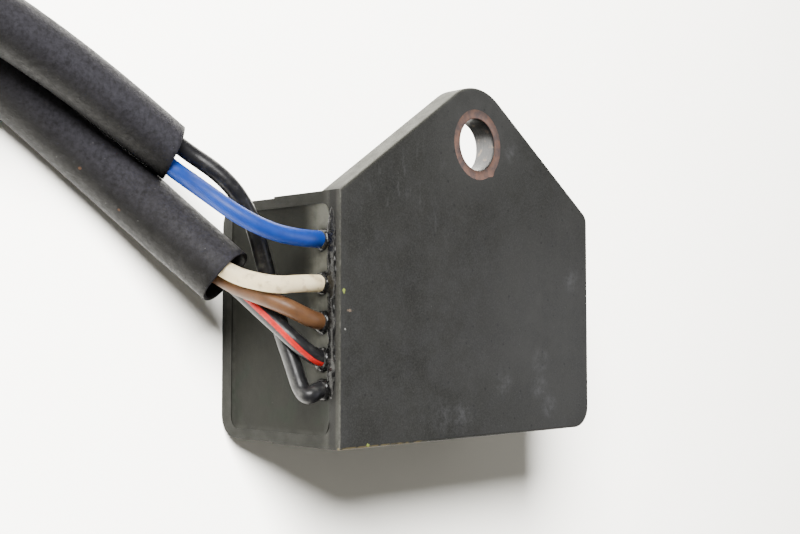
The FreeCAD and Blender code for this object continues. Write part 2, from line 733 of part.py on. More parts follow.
for thing in doc.Objects:
    if "Invalid" in thing.State or "Error" in thing.State:
        raise RuntimeError("%s failed: %s" % (thing.Name, thing.State))
for node in NODES:
    shape = doc.getObject(node).Shape
    if shape.isNull() or not shape.isValid() or not shape.Solids:
        raise RuntimeError(node + " is not a sound solid")
    doc.getObject(node).Label = node
    shape.exportStep("parts/%s.step" % node)
    box_of = shape.BoundBox
    print("%-26s solids %2d volume %9.1f  x %.1f %.1f  y %.1f %.1f  z %.2f %.2f"
          % (node, len(shape.Solids), shape.Volume, box_of.XMin, box_of.XMax, box_of.YMin,
             box_of.YMax, box_of.ZMin, box_of.ZMax))
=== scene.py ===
import math

import bmesh
import bpy
from mathutils import Matrix, Vector, noise


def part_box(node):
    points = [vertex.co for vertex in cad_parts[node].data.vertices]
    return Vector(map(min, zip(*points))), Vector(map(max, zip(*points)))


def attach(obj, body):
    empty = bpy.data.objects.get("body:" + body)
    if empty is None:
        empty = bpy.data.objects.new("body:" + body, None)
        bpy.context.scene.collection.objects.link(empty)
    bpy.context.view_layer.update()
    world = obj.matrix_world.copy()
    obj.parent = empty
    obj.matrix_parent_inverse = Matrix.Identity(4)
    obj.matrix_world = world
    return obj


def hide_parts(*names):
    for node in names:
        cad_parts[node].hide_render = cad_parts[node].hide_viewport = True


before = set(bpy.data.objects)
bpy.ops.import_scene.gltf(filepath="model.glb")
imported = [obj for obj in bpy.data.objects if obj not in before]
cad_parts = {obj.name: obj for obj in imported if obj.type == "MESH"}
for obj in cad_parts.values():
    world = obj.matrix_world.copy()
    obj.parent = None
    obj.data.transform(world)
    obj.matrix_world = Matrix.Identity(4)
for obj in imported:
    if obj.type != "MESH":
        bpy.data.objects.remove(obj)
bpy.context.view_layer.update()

# A block-type proximity sensor that lies on its sensing face, with its leads. Lengths are in
# millimetres in the names in capitals and in the materials, and in metres everywhere else.
MM = 0.001
# The case: the plane of its open end, its mounting face, and its front wall's inner face.
OPEN_END = -25.0
PLATE_TOP = 23.0
WALL_INSIDE = 21.0

# ---------------------------------------------------------------- camera

EYE = Vector((-118.98, -9.36, 124.64))
GAZE = Vector((0.71406, 0.05482, -0.69794))
LENS = 52.57


def make_camera():
    """A camera at EYE that looks along GAZE, with its sides level."""
    back = -GAZE.normalized()
    right = Vector((0, 1, 0)).cross(back).normalized()
    up = back.cross(right)
    data = bpy.data.cameras.new("camera")
    data.sensor_width = 36
    data.lens = LENS
    data.clip_start = 0.005
    data.clip_end = 20
    camera = bpy.data.objects.new("camera", data)
    turn = Matrix((right, up, back)).transposed().to_4x4()
    camera.matrix_world = Matrix.Translation(EYE * MM) @ turn
    bpy.context.scene.collection.objects.link(camera)
    bpy.context.scene.camera = camera


# ---------------------------------------------------------------- meshes

def add_piece(name, vertices, faces, material, replaced, wrap=None):
    """A smooth mesh that rides on the part. wrap gives each vertex index of each face its
    place round and along the piece."""
    mesh = bpy.data.meshes.new(name)
    mesh.from_pydata([tuple(v) for v in vertices], [], faces)
    mesh.polygons.foreach_set("use_smooth", [True] * len(faces))
    if wrap:
        layer = mesh.uv_layers.new(name="wrap")
        for loop, place in zip(layer.data, wrap):
            loop.uv = place
    mesh.materials.append(material)
    mesh.validate()
    piece = bpy.data.objects.new(name, mesh)
    bpy.context.scene.collection.objects.link(piece)
    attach(piece, "root")
    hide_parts(*replaced)
    return piece


def bridge(first, second, count):
    """Quads between two closed rings of vertices."""
    return [(first + k, first + (k + 1) % count, second + (k + 1) % count, second + k)
            for k in range(count)]


def closed_skin(rings, sides):
    """Faces over a stack of rings of vertices, with a cap at each end."""
    faces = []
    for number in range(rings - 1):
        faces += bridge(number * sides, (number + 1) * sides, sides)
    last = (rings - 1) * sides
    return faces + [tuple(reversed(range(sides))), tuple(range(last, last + sides))]


def looped_skin(rings, sides):
    """Faces over rings of vertices of which the last joins the first."""
    faces = []
    for number in range(rings):
        faces += bridge(number * sides, (number + 1) % rings * sides, sides)
    return faces


def wobble(place, seed, per_metre):
    """Smooth noise from about -1 to 1 that is the same on each run."""
    return noise.noise(Vector(place) * per_metre + Vector((seed, 2.3 * seed, -seed)))


# ---------------------------------------------------------------- cords

# Each wire from inside the potting to the mouth of its sleeve.
FREE_WIRES = {
    "blue_wire": [(-23.0, 1.7, 19.5), (-25.0, 1.7, 19.5), (-28.4, 1.7, 19.4), (-32.2, 2.2, 18.9),
                  (-35.6, 4.0, 17.0), (-38.3, 7.0, 13.8)],
    "white_wire": [(-23.0, -3.6, 19.55), (-25.0, -3.6, 19.55), (-28.2, -3.7, 19.4), (-31.4, -4.0, 18.2)],
    "brown_wire": [(-23.0, -8.3, 19.6), (-25.0, -8.3, 19.6), (-27.0, -7.8, 19.5), (-30.0, -6.1, 18.0)],
    "black_red_wire": [(-23.0, -12.8, 19.6), (-25.0, -12.8, 19.6), (-27.0, -11.8, 19.2),
                       (-29.1, -9.3, 17.4)],
    "black_wire": [(-23.0, -16.4, 19.7), (-25.4, -16.2, 19.7), (-27.0, -17.2, 19.6),
                   (-27.1, -16.4, 18.3), (-27.3, -13.6, 17.2), (-27.7, -10.2, 15.8), (-28.0, -6.4, 14.4),
                   (-29.2, -1.0, 13.8), (-31.6, 4.6, 14.2), (-34.6, 8.9, 13.2)],
}
# The sleeves' centre lines, from their mouths beside the case to their far ends.
UPPER_SLEEVE = [(-39.2, 11.8, 9.0), (-47.0, 15.9, 9.9), (-56.0, 20.3, 10.7), (-65.0, 24.0, 11.3),
                (-74.5, 25.5, 11.1), (-85.0, 23.0, 8.0), (-95.5, 17.4, 4.0), (-103.5, 8.4, 3.4),
                (-107.8, -3.4, 3.3), (-108.6, -16.4, 3.4), (-105.8, -29.0, 3.3), (-99.6, -40.2, 3.4),
                (-90.6, -49.2, 3.4)]
LOWER_SLEEVE = [(-32.9, -2.8, 11.0), (-37.6, 2.8, 6.6), (-44.5, 9.1, 3.9), (-55.8, 17.2, 3.8),
                (-66.0, 23.6, 3.8), (-76.0, 29.2, 3.8), (-87.5, 32.2, 3.8), (-99.0, 31.3, 3.8),
                (-110.2, 26.6, 3.8), (-119.2, 18.4, 3.8), (-125.0, 7.0, 3.8), (-127.3, -6.0, 3.8),
                (-126.7, -19.2, 3.8), (-123.6, -31.8, 3.8)]
# Each wire's place in its sleeve: to the left of the centre line, and above it.
UPPER_PLACES = {"blue_wire": (1.5, -0.5), "black_wire": (-0.9, 0.45)}
LOWER_PLACES = {"white_wire": (0.6, 1.7), "brown_wire": (0.6, -0.45), "black_red_wire": (-1.0, -1.85)}
# Each connector: its wires from left to right, the foot of its rear face, its heading in
# degrees from +X, its sleeve and the wires' places in that sleeve.
CONNECTORS = {
    "two_way": (["blue_wire", "black_wire"], Vector((-80.8, -56.9, 0)), -35.0,
                UPPER_SLEEVE, UPPER_PLACES),
    "three_way": (["brown_wire", "white_wire", "black_red_wire"], Vector((-120.6, -43.9, 0)), -76.0,
                  LOWER_SLEEVE, LOWER_PLACES),
}
# In a connector: the wires' height, their spacing, and where each one's last two points lie
# along it, measured from its rear face.
WIRE_LEVEL = 5.4
WAY_PITCH = 6.0
LAST_POINTS = (-3.2, 5.0)
# Real lengths and diameters.
WIRE_DIAMETER = 2.1
SLEEVE_WALL = 0.5
# Each sleeve: its route, real length, diameter and connector, and how far the cut at its mouth
# leans away on the left and on top.
SLEEVES = {
    "upper_sleeve": (UPPER_SLEEVE, 136.9, 6.5, "two_way", (-0.3, 1.8)),
    "lower_sleeve": (LOWER_SLEEVE, 154.8, 7.5, "three_way", (0.3, 0.5)),
}


def beside(points, left, over):
    """A route that runs beside another: to its left and above it by fixed amounts."""
    route = [Vector(point) for point in points]
    steps = [(b - a).normalized() for a, b in zip(route, route[1:])]
    result = []
    for number, point in enumerate(route):
        before = steps[max(number - 1, 0)]
        after = steps[min(number, len(steps) - 1)]
        along = (before + after).normalized()
        leftward = Vector((-along.y, along.x, 0)).normalized()
        upward = along.cross(leftward)
        result.append(point + leftward * (left / before.dot(along)) + upward * over)
    return result


def wire_route(wire, connector):
    """A wire's points from the potting, through its sleeve and into its connector."""
    order, rear, heading, sleeve, places = CONNECTORS[connector]
    turn = Matrix.Rotation(math.radians(heading), 3, "Z")
    left = ((len(order) - 1) / 2 - order.index(wire)) * WAY_PITCH
    route = [Vector(point) for point in FREE_WIRES[wire]] + beside(sleeve, *places[wire])
    return route + [rear + turn @ Vector((forward, left, WIRE_LEVEL)) for forward in LAST_POINTS]


def smooth_line(route):
    """Points read along the NURBS spline that the route controls, in metres."""
    curve = bpy.data.curves.new("route", "CURVE")
    curve.dimensions = "3D"
    curve.resolution_u = 20
    spline = curve.splines.new("NURBS")
    spline.points.add(len(route) - 1)
    for control, point in zip(spline.points, route):
        control.co = (*(point * MM), 1)
    spline.order_u = 3
    spline.use_endpoint_u = True
    holder = bpy.data.objects.new("route", curve)
    mesh = bpy.data.meshes.new_from_object(holder)
    line = [vertex.co.copy() for vertex in mesh.vertices]
    bpy.data.objects.remove(holder)
    bpy.data.curves.remove(curve)
    bpy.data.meshes.remove(mesh)
    return line


def frames_along(line):
    """Each point of a line with its forward, left and upward directions."""
    result = []
    for number, point in enumerate(line):
        forward = (line[min(number + 1, len(line) - 1)] - line[max(number - 1, 0)]).normalized()
        left = Vector((-forward.y, forward.x, 0)).normalized()
        result.append((point, forward, left, forward.cross(left)))
    return result


def ring_points(place, radius, sides, shift=None):
    """A ring of points round one place of a line. shift moves a point along the line."""
    point, forward, left, up = place
    ring = []
    for k in range(sides):
        angle = 2 * math.pi * k / sides
        outward = left * math.cos(angle) + up * math.sin(angle)
        moved = shift(angle) if shift else 0.0
        ring.append(point + outward * radius(outward, point) + forward * moved)
    return ring


def wrap_of(sides, places):
    """The wrap of each quad of a tube: turns round it, and metres along it."""
    wrap = []
    for first, second in places:
        for k in range(sides):
            wrap += [(k / sides, first), ((k + 1) / sides, first),
                     ((k + 1) / sides, second), (k / sides, second)]
    return wrap


def distances(line):
    """How far along the line each of its points lies."""
    total = [0.0]
    for a, b in zip(line, line[1:]):
        total.append(total[-1] + (b - a).length)
    return total


def solid_tube(line, diameter, seed, sides=28):
    """A closed tube along a line, with a slightly uneven thickness."""
    def radius(outward, point):
        slow = 0.012 * wobble(point, seed, 260)
        return diameter / 2 * (1 + slow + 0.006 * wobble(point + outward, seed, 900))

    along = distances(line)
    vertices = []
    for place in frames_along(line):
        vertices += ring_points(place, radius, sides)
    caps = [(0.0, 0.0)] * (2 * sides)
    return vertices, closed_skin(len(line), sides), wrap_of(sides, zip(along, along[1:])) + caps


def hollow_tube(line, diameter, wall, seed, slant, sides=44):
    """A sleeve: outer skin, inner skin and a rounded, unevenly cut lip at both ends. slant is
    how far the first end's cut leans away on the left and on top."""
    along = distances(line)
    places = frames_along(line)
    reach = 1.4 * diameter
    roll = 0.12 * wall
    lip, inner_lip = 0.16, 0.84

    def skin(depth):
        """The radius at a depth into the wall: 0 on the outside, 1 on the inside."""
        def radius(outward, point):
            slow = 0.012 * wobble(point, seed, 75)
            fine = 0.008 * wobble(point + outward * 0.4, seed, 160)
            return diameter / 2 * (1 + slow + fine) - wall * depth

        return radius

    def cut(end):
        """How far the cut end stands out at each angle round it."""
        left, top = slant if end < 0 else (0.0, 0.0)
        return lambda angle: (left * math.cos(angle) + top * math.sin(angle)
                              + end * diameter * 0.012 * math.cos(3 * angle + seed))

    def fading_cut(number):
        """The first end's cut fades out along the sleeve, so that rings never cross."""
        if number == len(places) - 1:
            return cut(1)
        share = max(0.0, 1 - along[number] / reach)
        return lambda angle: cut(-1)(angle) * share

    def tube_rings(depth):
        return [ring_points(place, skin(depth), sides, fading_cut(number))
                for number, place in enumerate(places)]

    def end_rings(end, depths):
        """The rings that round off one end, a little beyond the skins' own."""
        point, forward, *across = places[-1 if end > 0 else 0]
        place = (point + forward * end * roll, forward, *across)
        return [ring_points(place, skin(depth), sides, cut(end)) for depth in depths]

    loop = tube_rings(0) + end_rings(1, (lip, inner_lip))
    loop += list(reversed(tube_rings(1))) + end_rings(-1, (inner_lip, lip))
    heights = along + [along[-1]] * 2 + list(reversed(along)) + [along[0]] * 2
    vertices = [point for ring in loop for point in ring]
    wrap = wrap_of(sides, zip(heights, heights[1:] + heights[:1]))
    return vertices, looped_skin(len(loop), sides), wrap


def make_cords(finishes):
    """The wires and sleeves."""
    for number, (connector, (order, *_)) in enumerate(CONNECTORS.items()):
        for wire in order:
            line = smooth_line(wire_route(wire, connector))
            tube = solid_tube(line, WIRE_DIAMETER * MM, seed=3.7 + number)
            name = wire.replace("_wire", "")
            piece = add_piece(wire + "_cord", tube[0], tube[1], finishes[name], [wire], tube[2])
    for number, (name, (route, length, diameter, connector, slant)) in enumerate(SLEEVES.items()):
        line = smooth_line([Vector(point) for point in route])
        tube = hollow_tube(line, diameter * MM, SLEEVE_WALL * MM, seed=1.3 + 2.1 * number,
                           slant=[side * MM for side in slant])
        piece = add_piece(name + "_tube", tube[0], tube[1], finishes["sleeve"], [name], tube[2])


# ---------------------------------------------------------------- materials

class Finish:
    """One material: nodes that feed its principled shader. Places are in millimetres."""

    def __init__(self, name, **sockets):
        self.material = bpy.data.materials.new(name)
        self.material.use_nodes = True
        self.nodes = self.material.node_tree.nodes
        self.links = self.material.node_tree.links
        self.shader = self.nodes["Principled BSDF"]
        for socket, value in sockets.items():
            self.shader.inputs[socket.replace("_", " ")].default_value = value
        coordinates = self.nodes.new("ShaderNodeTexCoord")
        self.place = self.vector("SCALE", coordinates.outputs["Object"], 1 / MM)
        self.x, self.y, self.z = self.parts(self.place)

    def feed(self, socket, value):
        if isinstance(value, bpy.types.NodeSocket):
            self.links.new(value, socket)
        elif value is not None:
            socket.default_value = value

    def vector(self, operation, first, second=None):
        node = self.nodes.new("ShaderNodeVectorMath")
        node.operation = operation
        self.feed(node.inputs[0], first)
        self.feed(node.inputs["Scale" if operation == "SCALE" else 1], second)
        return node.outputs["Value" if operation == "DISTANCE" else "Vector"]

    def parts(self, vector):
        node = self.nodes.new("ShaderNodeSeparateXYZ")
        self.feed(node.inputs[0], vector)
        return node.outputs

    def maths(self, operation, first, second=None):
        node = self.nodes.new("ShaderNodeMath")
        node.operation = operation
        self.feed(node.inputs[0], first)
        self.feed(node.inputs[1], second)
        return node.outputs[0]

    def ramp(self, value, low, high, out_low=0.0, out_high=1.0):
        """Runs smoothly from out_low at low to out_high at high."""
        node = self.nodes.new("ShaderNodeMapRange")
        node.interpolation_type = "SMOOTHSTEP"
        for number, item in enumerate((value, low, high, out_low, out_high)):
            self.feed(node.inputs[number], item)
        return node.outputs[0]

    def mix(self, factor, first, second):
        node = self.nodes.new("ShaderNodeMix")
        node.data_type = "RGBA"
        for number, item in ((0, factor), (6, first), (7, second)):
            self.feed(node.inputs[number], (*item, 1) if isinstance(item, tuple) else item)
        return node.outputs[2]

    def noise(self, scale, detail=4.0, stretch=(1, 1, 1), roughness=0.55):
        node = self.nodes.new("ShaderNodeTexNoise")
        self.links.new(self.vector("MULTIPLY", self.place, stretch), node.inputs["Vector"])
        node.inputs["Scale"].default_value = scale
        node.inputs["Detail"].default_value = detail
        node.inputs["Roughness"].default_value = roughness
        return node.outputs[0]

    def specks(self, scale, size, share):
        """Small round spots in a share of the cells of a scattered pattern."""
        node = self.nodes.new("ShaderNodeTexVoronoi")
        self.links.new(self.place, node.inputs["Vector"])
        node.inputs["Scale"].default_value = scale
        spot = self.ramp(node.outputs["Distance"], size, 0.55 * size)
        chosen = self.ramp(self.parts(node.outputs["Color"])[0], share, share - 0.02)
        return self.times(spot, chosen)

    def spot(self, centre, inner, outer):
        """1 within inner of a point, 0 past outer."""
        return self.ramp(self.vector("DISTANCE", self.place, centre), outer, inner)

    def band(self, value, centre, half, soft):
        """1 where a value lies within half of a centre, 0 past a soft edge."""
        off = self.maths("ABSOLUTE", self.maths("SUBTRACT", value, centre))
        return self.ramp(off, half + soft, half)

    def times(self, *values):
        result = values[0]
        for value in values[1:]:
            result = self.maths("MULTIPLY", result, value)
        return result

    def normal(self):
        """The surface's direction as x, y and z."""
        return self.parts(self.nodes.new("ShaderNodeNewGeometry").outputs["Normal"])

    def wrap(self):
        """Turns round a tube, and millimetres along it."""
        node = self.nodes.new("ShaderNodeUVMap")
        node.uv_map = "wrap"
        turn, along, _ = self.parts(node.outputs[0])
        return turn, self.times(along, 1 / MM)

    def bump(self, height, depth):
        """Raises the surface by depth millimetres where height is 1."""
        node = self.nodes.new("ShaderNodeBump")
        node.inputs["Distance"].default_value = depth * MM
        node.inputs["Strength"].default_value = 1.0
        self.links.new(height, node.inputs["Height"])
        if self.shader.inputs["Normal"].is_linked:
            self.links.new(self.shader.inputs["Normal"].links[0].from_socket, node.inputs["Normal"])
        self.links.new(node.outputs[0], self.shader.inputs["Normal"])

    def done(self, colour, roughness):
        """The finished material."""
        self.feed(self.shader.inputs["Base Color"], colour)
        self.feed(self.shader.inputs["Roughness"], roughness)
        return self.material


# Pale scuffs on the mounting face: place along X, place along Y, and size.
SCUFFS = ((20.9, -2.0, 2.6), (13.5, -13.6, 2.7), (13.2, -17.2, 2.6), (15.4, -20.0, 2.5),
          (7.1, 15.5, 2.3), (5.2, -16.6, 2.7), (-3.3, -20.4, 3.2), (-7.6, -20.2, 3.0))
# Fluff on the mounting face's edges: its place, how it is squeezed along each axis, its colour.
FLUFF = (((-24.5, -4.6, PLATE_TOP), (1.7, 0.9, 1.0), (0.22, 0.27, 0.05)),
         ((-20.5, -23.1, 22.9), (0.9, 1.4, 1.0), (0.22, 0.26, 0.05)),
         ((-23.6, -6.9, PLATE_TOP), (0.7, 2.2, 1.0), (0.15, 0.11, 0.075)),
         ((-24.3, -9.1, PLATE_TOP), (2.2, 2.2, 1.0), (0.22, 0.22, 0.20)))


def case_finish():
    """Dusty, scuffed charcoal moulding: paler on worn edges, with a few stray specks."""
    f = Finish("case_plastic", Specular_IOR_Level=0.10)
    broad = f.noise(0.09, 3)
    mottle = f.noise(0.45, 5)
    grain = f.noise(5.5, 4, roughness=0.7)
    colour = f.mix(f.ramp(broad, 0.3, 0.7), (0.0155, 0.0155, 0.0130), (0.0225, 0.0224, 0.0195))
    colour = f.mix(f.ramp(grain, 0.35, 0.75, 0.0, 0.5), colour, (0.046, 0.046, 0.041))
    colour = case_pale_patches(f, colour, mottle)
    colour = case_scuffs(f, colour)
    colour = case_edges(f, colour)
    colour = case_open_end(f, colour)
    colour = case_bits(f, colour)
    f.bump(grain, 0.02)
    f.bump(f.noise(14.0, 2), 0.012)
    f.bump(f.specks(1.1, 0.12, 0.3), 0.03)
    return f.done(colour, f.ramp(mottle, 0.3, 0.7, 0.55, 0.70))


def case_pale_patches(f, colour, mottle):
    """Paler patches on two stretches of the mounting face, and rubbed streaks on a third."""
    far_side = f.spot((16, -10, PLATE_TOP), 4, 24)
    lug_tip = f.spot((0, 19, PLATE_TOP), 4, 13)
    dust = f.times(f.ramp(mottle, 0.30, 0.75, 0.35, 1.0), f.maths("MAXIMUM", far_side, lug_tip), 0.75)
    colour = f.mix(dust, colour, (0.042, 0.042, 0.039))
    streaks = f.times(f.ramp(f.noise(1.1, 4, (1.0, 0.28, 1.0)), 0.55, 0.75),
                      f.spot((-13, 7, PLATE_TOP), 3, 12), f.ramp(f.z, PLATE_TOP - 0.5, PLATE_TOP), 0.35)
    return f.mix(streaks, colour, (0.065, 0.065, 0.063))


def case_scuffs(f, colour):
    """Ragged pale scuffs on the mounting face, and pale and dark specks all over."""
    ragged = f.ramp(f.noise(0.7, 5, roughness=0.7), 0.36, 0.72)
    for x, y, size in SCUFFS:
        scuff = f.times(f.spot((x, y, PLATE_TOP), 0.2, size), ragged, 0.42)
        colour = f.mix(scuff, colour, (0.085, 0.085, 0.085))
    colour = f.mix(f.times(f.specks(1.5, 0.13, 0.12), 0.30), colour, (0.10, 0.10, 0.095))
    return f.mix(f.times(f.specks(0.8, 0.2, 0.25), 0.4), colour, (0.008, 0.008, 0.008))


def case_edges(f, colour):
    """The worn corner over the open end, painted light on the lug's sides, and the mounting face's rim.
    """
    across = f.maths("SUBTRACT", f.x, OPEN_END)
    below = f.maths("SUBTRACT", PLATE_TOP, f.z)
    corner = f.maths("SQRT", f.maths("ADD", f.times(across, across), f.times(below, below)))
    chips = f.noise(2.2, 5, (1, 0.6, 1), roughness=0.7)
    worn = f.times(f.ramp(corner, 1.5, 0.3), f.ramp(chips, 0.30, 0.66, 0.15, 0.80), 0.40)
    colour = f.mix(worn, colour, (0.046, 0.046, 0.043))
    side = f.ramp(f.maths("ABSOLUTE", f.normal()[2]), 0.75, 0.35)
    # Painted light: the lug's sides are paler, most of all the left side, which faces the window.
    lug_side_painted_light = f.times(side, f.ramp(f.y, 7.5, 8.6), f.ramp(f.x, 3.0, -5.0, 0.25, 1.0),
                       f.ramp(f.noise(0.8, 4), 0.2, 0.7, 0.55, 1.0))
    colour = f.mix(lug_side_painted_light, colour, (0.075, 0.075, 0.066))
    rim = f.times(f.ramp(f.z, PLATE_TOP - 0.45, PLATE_TOP - 0.2), side,
                  f.ramp(f.noise(0.9, 4), 0.42, 0.62), 0.6)
    return f.mix(rim, colour, (0.07, 0.07, 0.062))


def case_open_end(f, colour):
    """The walls' ends: olive-grey, and nearly black along the middle of the front wall."""
    open_end = f.ramp(f.x, OPEN_END + 0.25, OPEN_END + 0.05)
    film = f.times(open_end, f.ramp(f.z, 20.9, 19.5), f.ramp(f.noise(0.6, 4), 0.25, 0.65, 0.75, 1.0))
    colour = f.mix(film, colour, (0.0100, 0.0103, 0.0085))
    dark_wall = f.times(open_end, f.ramp(f.z, 20.6, 21.2), f.ramp(f.z, 22.4, 21.9), 0.8)
    return f.mix(dark_wall, colour, (0.007, 0.007, 0.007))


def case_bits(f, colour):
    """Yellowed flash along the mounting face's edge away from the lug, and bits of fluff."""
    flash = f.times(f.band(f.y, -23.3, 0.14, 0.10), f.band(f.x, -18.5, 6.0, 3.0),
                    f.ramp(f.z, PLATE_TOP - 0.7, PLATE_TOP - 0.3),
                    f.ramp(f.noise(1.4, 3), 0.38, 0.55), 0.8)
    colour = f.mix(flash, colour, (0.12, 0.095, 0.045))
    frayed = f.ramp(f.noise(3.0, 3), 0.35, 0.65, 0.25, 0.0)
    for centre, squeeze, tint in FLUFF:
        offset = f.vector("MULTIPLY", f.vector("SUBTRACT", f.place, centre), squeeze)
        far = f.maths("ADD", f.vector("DISTANCE", offset, (0, 0, 0)), frayed)
        colour = f.mix(f.ramp(far, 0.50, 0.30), colour, tint)
    return colour


def bush_finish():
    """Turned steel: a rusty end ring and a bright bore with fine turning marks."""
    f = Finish("bush_steel", Metallic=1.0, Specular_IOR_Level=0.5)
    upright = f.maths("ABSOLUTE", f.normal()[2])
    face = f.ramp(upright, 0.35, 0.75)
    rust = f.mix(f.ramp(f.noise(0.8, 5), 0.30, 0.70), (0.190, 0.112, 0.080), (0.098, 0.076, 0.066))
    turned = f.noise(3.0, 3, (0.3, 0.3, 9.0))
    steel = f.mix(f.ramp(turned, 0.35, 0.65), (0.080, 0.080, 0.082), (0.050, 0.050, 0.052))
    steel = f.mix(f.times(f.ramp(f.noise(0.9, 4), 0.55, 0.75), 0.6), steel, (0.26, 0.19, 0.14))
    f.bump(turned, 0.012)
    f.bump(f.noise(4.0, 4), 0.02)
    return f.done(f.mix(face, steel, rust), f.ramp(face, 0, 1, 0.32, 0.62))


def potting_finish():
    """Cast resin, dark olive-grey and semi-gloss; where it climbs the walls, dust and painted light."""
    f = Finish("potting_resin", Specular_IOR_Level=0.05)
    cloud = f.noise(0.22, 4)
    colour = f.mix(f.ramp(cloud, 0.3, 0.7), (0.0085, 0.0088, 0.0072), (0.0130, 0.0134, 0.0112))
    green = f.times(f.ramp(f.noise(0.35, 2), 0.5, 0.75), f.ramp(f.y, -4, -12), 0.30)
    colour = f.mix(green, colour, (0.007, 0.013, 0.008))
    # Paler band up the front wall: partly dust, partly painted light that offsets the wires' shade.
    climb_dust_and_light = f.times(f.ramp(f.z, 15.6, 19.6), f.ramp(f.noise(0.7, 3), 0.2, 0.6, 0.5, 1.0),
                    f.ramp(f.y, -16.5, -13.5), f.ramp(f.y, 12.0, 6.0))
    for (_, exit_y, exit_z), *_ in FREE_WIRES.values():
        beside_wire = f.spot((OPEN_END + 0.2, exit_y, exit_z), 1.0, 2.4)
        climb_dust_and_light = f.times(climb_dust_and_light, f.maths("SUBTRACT", 1.0, f.times(beside_wire, 0.75)))
    colour = f.mix(f.times(climb_dust_and_light, 0.85), colour, (0.095, 0.095, 0.080))
    edge = f.maths("MAXIMUM", f.ramp(f.y, -21.2, -21.7), f.ramp(f.z, 2.9, 2.3))
    worn = f.times(edge, f.ramp(f.noise(0.8, 4), 0.3, 0.6), 0.35)
    colour = f.mix(worn, colour, (0.026, 0.026, 0.023))
    colour = f.mix(f.times(f.specks(1.1, 0.14, 0.2), 0.25), colour, (0.05, 0.05, 0.045))
    f.bump(f.noise(0.8, 4), 0.05)
    f.bump(f.noise(7.0, 3), 0.01)
    return f.done(colour, f.ramp(cloud, 0.3, 0.7, 0.50, 0.62))


def sealant_finish():
    """Glossy black sealant, lumpy, with a little dust."""
    f = Finish("sealant_black", Specular_IOR_Level=0.2, Coat_Weight=0.12, Coat_Roughness=0.15)
    dust = f.times(f.ramp(f.noise(1.8, 4), 0.55, 0.75), 0.45)
    f.bump(f.noise(1.3, 3), 0.12)
    colour = f.mix(dust, (0.005, 0.005, 0.005), (0.035, 0.035, 0.032))
    return f.done(colour, f.ramp(dust, 0, 0.45, 0.25, 0.55))


# Insulation: its lighter and darker tones, its dirt's colour and amount, and its roughness.
BLACK_DUST = (0.075, 0.075, 0.070)
INSULATION = {
    "blue": ((0.005, 0.042, 0.27), (0.004, 0.033, 0.23), (0.010, 0.03, 0.10), 0.30, 0.42),
    "white": ((0.90, 0.77, 0.49), (0.82, 0.68, 0.41), (0.24, 0.14, 0.06), 0.50, 0.38),
    "brown": ((0.118, 0.056, 0.024), (0.092, 0.041, 0.017), (0.05, 0.032, 0.02), 0.40, 0.38),
    "black": ((0.007, 0.007, 0.008), (0.012, 0.012, 0.013), BLACK_DUST, 0.50, 0.30),
    "black_red": ((0.007, 0.007, 0.008), (0.011, 0.011, 0.012), (0.06, 0.06, 0.055), 0.35, 0.26),
}


def insulation_finish(name):
    """Extruded insulation: slow changes of tone, patchy dirt, faint rings and a soft gloss."""
    light, dark, stain, amount, roughness = INSULATION[name]
    f = Finish(name + "_insulation", Specular_IOR_Level=0.28)
    turn, along = f.wrap()
    drawn = f.noise(0.35, 4)
    colour = f.mix(f.ramp(drawn, 0.35, 0.65), light, dark)
    dirt = f.times(f.ramp(f.noise(0.8, 5), 0.5, 0.72), amount)
    colour = f.mix(dirt, colour, stain)
    colour = f.mix(f.times(f.specks(1.6, 0.16, 0.16), amount), colour, stain)
    rings = f.maths("SINE", f.maths("ADD", f.times(along, 2.4), f.times(drawn, 9.0)))
    f.bump(rings, 0.004)
    f.bump(f.noise(3.2, 4), 0.015)
    return f, colour, f.ramp(f.noise(1.1, 3), 0.3, 0.7, roughness, roughness + 0.12), turn


def plain_insulation(name):
    """Insulation of one colour."""
    f, colour, roughness, _ = insulation_finish(name)
    return f.done(colour, roughness)


def striped_insulation():
    """Black insulation with one red stripe along it."""
    f, black, roughness, turn = insulation_finish("black_red")
    middle, half_width, soft_edge = 0.548, 0.046, 0.008
    turned = f.maths("FRACT", f.maths("ADD", turn, 0.42))
    wander = f.times(f.noise(0.5, 3), 0.03)
    stripe = f.band(f.maths("ADD", turned, wander), middle, half_width, soft_edge)
    red = f.mix(f.ramp(f.noise(0.7, 4), 0.35, 0.65), (0.50, 0.016, 0.014), (0.38, 0.011, 0.010))
    return f.done(f.mix(stripe, black, red), roughness)


